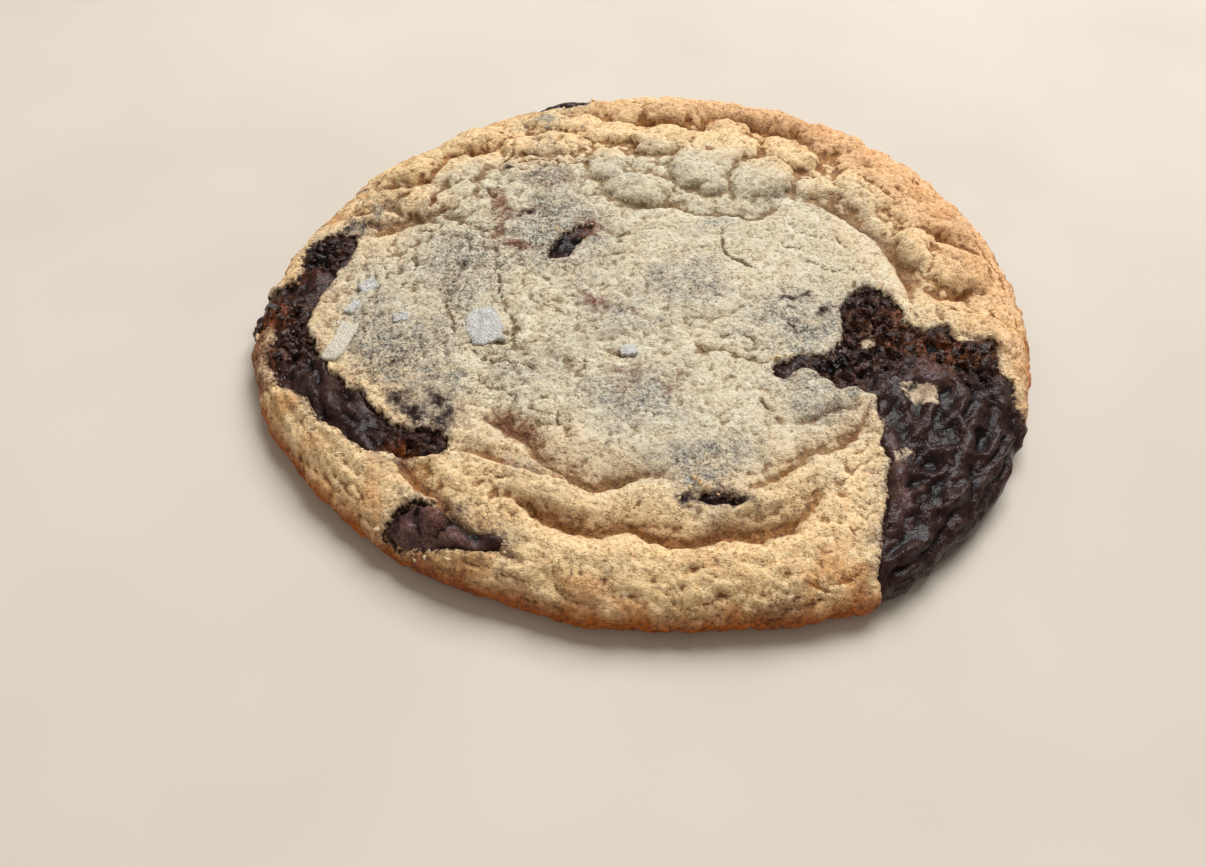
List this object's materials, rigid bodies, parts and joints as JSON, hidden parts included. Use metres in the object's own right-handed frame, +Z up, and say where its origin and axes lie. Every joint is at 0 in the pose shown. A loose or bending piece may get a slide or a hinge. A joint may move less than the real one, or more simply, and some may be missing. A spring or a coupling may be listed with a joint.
{
  "type": "chocolate chip cookie",
  "caption": "Large flat round cookie with folded rings near its golden rim, a pale cracked middle, flakes of salt and pools of melted chocolate.",
  "frame": {"origin": "middle of the underside, under the centre of the cookie's box", "axes": "+Z up out of the baked top, +X and +Y across the cookie; -Y is the side with the two long folds, and +X+(-Y) the side with the large pool of chocolate"},
  "size_m": [0.12, 0.1156, 0.0107],
  "materials": {
    "dough": "matt baked crumb, golden at the rim and pale grey-cream in the middle",
    "chocolate": "satin, wrinkled dark chocolate"
  },
  "bodies": {
    "root": {"dough": "dough", "chocolate_right_rim": "chocolate", "chocolate_left_rim": "chocolate", "chocolate_front_left": "chocolate", "chocolate_front": "chocolate", "chocolate_middle": "chocolate", "chocolate_back_rim": "chocolate"}
  },
  "joints": []
}
